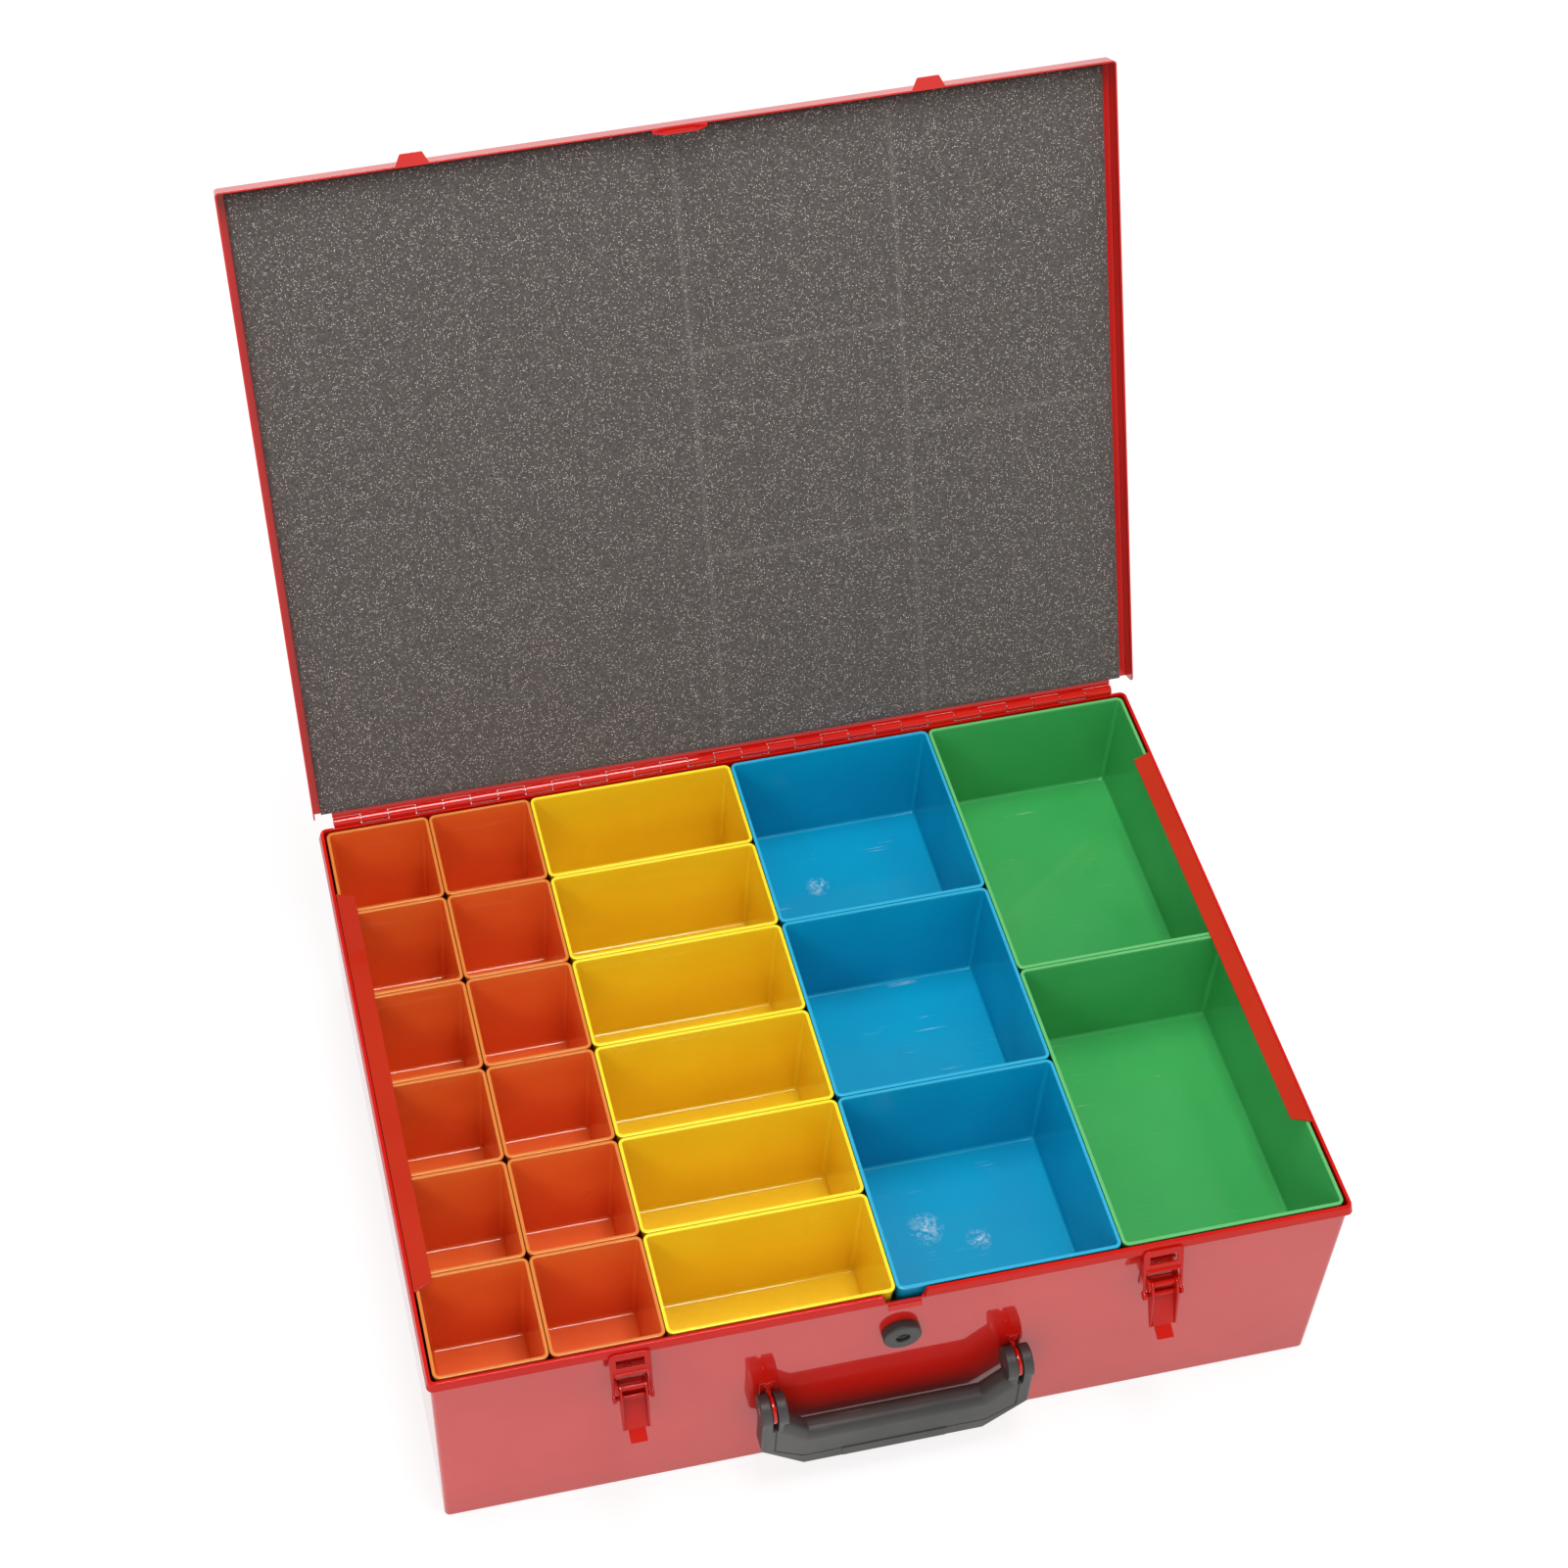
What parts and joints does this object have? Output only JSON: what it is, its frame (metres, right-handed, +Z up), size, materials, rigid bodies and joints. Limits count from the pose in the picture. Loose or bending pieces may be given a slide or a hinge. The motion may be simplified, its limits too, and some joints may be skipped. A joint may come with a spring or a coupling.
{
  "type": "assortment case",
  "caption": "Flat sheet steel carry case with a hinged foam-lined lid, two toggle latches, a lock, a swinging handle and a lift-out tray of open plastic bins.",
  "frame": {"origin": "middle of the case's base, on the surface it rests on", "axes": "+X to the right seen from the front, +Y to the hinge side, +Z up"},
  "size_m": [0.442, 0.4999, 0.4463],
  "materials": {
    "red_paint": "gloss paint on sheet steel",
    "orange_plastic": "satin moulded",
    "yellow_plastic": "satin moulded",
    "blue_plastic": "satin moulded",
    "green_plastic": "satin moulded",
    "grey_foam": "fine open foam sheet with flecks",
    "grey_plastic": "matt moulded",
    "bright_steel": "zinc plated"
  },
  "bodies": {
    "case": {"case_body": "red_paint", "hinge_leaf_case": "red_paint", "hinge_pin": "bright_steel", "tray_support_left": "red_paint", "tray_support_right": "red_paint", "latch_base_left": "red_paint", "latch_base_right": "red_paint", "latch_pivot_pins": "red_paint", "latch_rivets": "red_paint", "handle_rivets": "red_paint", "handle_bracket_left": "red_paint", "handle_bracket_right": "red_paint", "handle_pins": "bright_steel", "lock_body": "grey_plastic", "lock_nut": "bright_steel"},
    "lid": {"lid_shell": "red_paint", "hinge_leaf_lid": "red_paint", "lid_foam": "grey_foam"},
    "tray": {"insert_tray": "red_paint", "orange_bin_row1_column1": "orange_plastic", "orange_bin_row2_column1": "orange_plastic", "orange_bin_row3_column1": "orange_plastic", "orange_bin_row4_column1": "orange_plastic", "orange_bin_row5_column1": "orange_plastic", "orange_bin_row6_column1": "orange_plastic", "green_bin_rear": "green_plastic", "green_bin_front": "green_plastic"},
    "lever_left": {"latch_lever_left": "red_paint", "bail_pin_left": "red_paint"},
    "lever_right": {"latch_lever_right": "red_paint", "bail_pin_right": "red_paint"},
    "bail_left": {"latch_bail_left": "red_paint"},
    "bail_right": {"latch_bail_right": "red_paint"},
    "handle": {"handle_grip": "grey_plastic"},
    "lock_core": {"lock_plug": "grey_plastic", "lock_cam": "bright_steel"},
    "orange_bin_row1_column2": {"orange_bin_row1_column2": "orange_plastic"},
    "orange_bin_row2_column2": {"orange_bin_row2_column2": "orange_plastic"},
    "orange_bin_row3_column2": {"orange_bin_row3_column2": "orange_plastic"},
    "orange_bin_row4_column2": {"orange_bin_row4_column2": "orange_plastic"},
    "orange_bin_row5_column2": {"orange_bin_row5_column2": "orange_plastic"},
    "orange_bin_row6_column2": {"orange_bin_row6_column2": "orange_plastic"},
    "yellow_bin_row1": {"yellow_bin_row1": "yellow_plastic"},
    "yellow_bin_row2": {"yellow_bin_row2": "yellow_plastic"},
    "yellow_bin_row3": {"yellow_bin_row3": "yellow_plastic"},
    "yellow_bin_row4": {"yellow_bin_row4": "yellow_plastic"},
    "yellow_bin_row5": {"yellow_bin_row5": "yellow_plastic"},
    "yellow_bin_row6": {"yellow_bin_row6": "yellow_plastic"},
    "blue_bin_rear": {"blue_bin_rear": "blue_plastic"},
    "blue_bin_middle": {"blue_bin_middle": "blue_plastic"},
    "blue_bin_front": {"blue_bin_front": "blue_plastic"}
  },
  "joints": [
    {"name": "lid_hinge", "type": "hinge", "parent": "case", "child": "lid", "pos_m": [0, 0.16625, 0.1341], "axis": [-1, 0, 0], "range_deg": [-115.34, 0]},
    {"name": "tray_lift", "type": "slide", "parent": "case", "child": "tray", "axis": [0, 0, 1], "range_m": [0, 0.09]},
    {"name": "handle_swing", "type": "hinge", "parent": "case", "child": "handle", "pos_m": [0, -0.1738, 0.0641], "axis": [-1, 0, 0], "range_deg": [0, 90]},
    {"name": "lock_turn", "type": "hinge", "parent": "case", "child": "lock_core", "pos_m": [0.0032, -0.1638, 0.0981], "axis": [0, -1, 0], "range_deg": [0, 90]},
    {"name": "lever_left_swing", "type": "hinge", "parent": "case", "child": "lever_left", "pos_m": [-0.1265, -0.1723, 0.1101], "axis": [-1, 0, 0], "range_deg": [-28, 0]},
    {"name": "bail_left_swing", "type": "hinge", "parent": "lever_left", "child": "bail_left", "pos_m": [-0.1265, -0.17384, 0.10401], "axis": [1, 0, 0], "range_deg": [0, 110]},
    {"name": "lever_right_swing", "type": "hinge", "parent": "case", "child": "lever_right", "pos_m": [0.1265, -0.1723, 0.1101], "axis": [-1, 0, 0], "range_deg": [-28, 0]},
    {"name": "bail_right_swing", "type": "hinge", "parent": "lever_right", "child": "bail_right", "pos_m": [0.1265, -0.17384, 0.10401], "axis": [1, 0, 0], "range_deg": [0, 110]},
    {"name": "orange_bin_row1_column2_lift", "type": "slide", "parent": "tray", "child": "orange_bin_row1_column2", "axis": [0, 0, 1], "range_m": [0, 0.07]},
    {"name": "orange_bin_row2_column2_lift", "type": "slide", "parent": "tray", "child": "orange_bin_row2_column2", "axis": [0, 0, 1], "range_m": [0, 0.07]},
    {"name": "orange_bin_row3_column2_lift", "type": "slide", "parent": "tray", "child": "orange_bin_row3_column2", "axis": [0, 0, 1], "range_m": [0, 0.07]},
    {"name": "orange_bin_row4_column2_lift", "type": "slide", "parent": "tray", "child": "orange_bin_row4_column2", "axis": [0, 0, 1], "range_m": [0, 0.07]},
    {"name": "orange_bin_row5_column2_lift", "type": "slide", "parent": "tray", "child": "orange_bin_row5_column2", "axis": [0, 0, 1], "range_m": [0, 0.07]},
    {"name": "orange_bin_row6_column2_lift", "type": "slide", "parent": "tray", "child": "orange_bin_row6_column2", "axis": [0, 0, 1], "range_m": [0, 0.07]},
    {"name": "yellow_bin_row1_lift", "type": "slide", "parent": "tray", "child": "yellow_bin_row1", "axis": [0, 0, 1], "range_m": [0, 0.07]},
    {"name": "yellow_bin_row2_lift", "type": "slide", "parent": "tray", "child": "yellow_bin_row2", "axis": [0, 0, 1], "range_m": [0, 0.07]},
    {"name": "yellow_bin_row3_lift", "type": "slide", "parent": "tray", "child": "yellow_bin_row3", "axis": [0, 0, 1], "range_m": [0, 0.07]},
    {"name": "yellow_bin_row4_lift", "type": "slide", "parent": "tray", "child": "yellow_bin_row4", "axis": [0, 0, 1], "range_m": [0, 0.07]},
    {"name": "yellow_bin_row5_lift", "type": "slide", "parent": "tray", "child": "yellow_bin_row5", "axis": [0, 0, 1], "range_m": [0, 0.07]},
    {"name": "yellow_bin_row6_lift", "type": "slide", "parent": "tray", "child": "yellow_bin_row6", "axis": [0, 0, 1], "range_m": [0, 0.07]},
    {"name": "blue_bin_rear_lift", "type": "slide", "parent": "tray", "child": "blue_bin_rear", "axis": [0, 0, 1], "range_m": [0, 0.07]},
    {"name": "blue_bin_middle_lift", "type": "slide", "parent": "tray", "child": "blue_bin_middle", "axis": [0, 0, 1], "range_m": [0, 0.07]},
    {"name": "blue_bin_front_lift", "type": "slide", "parent": "tray", "child": "blue_bin_front", "axis": [0, 0, 1], "range_m": [0, 0.07]}
  ]
}
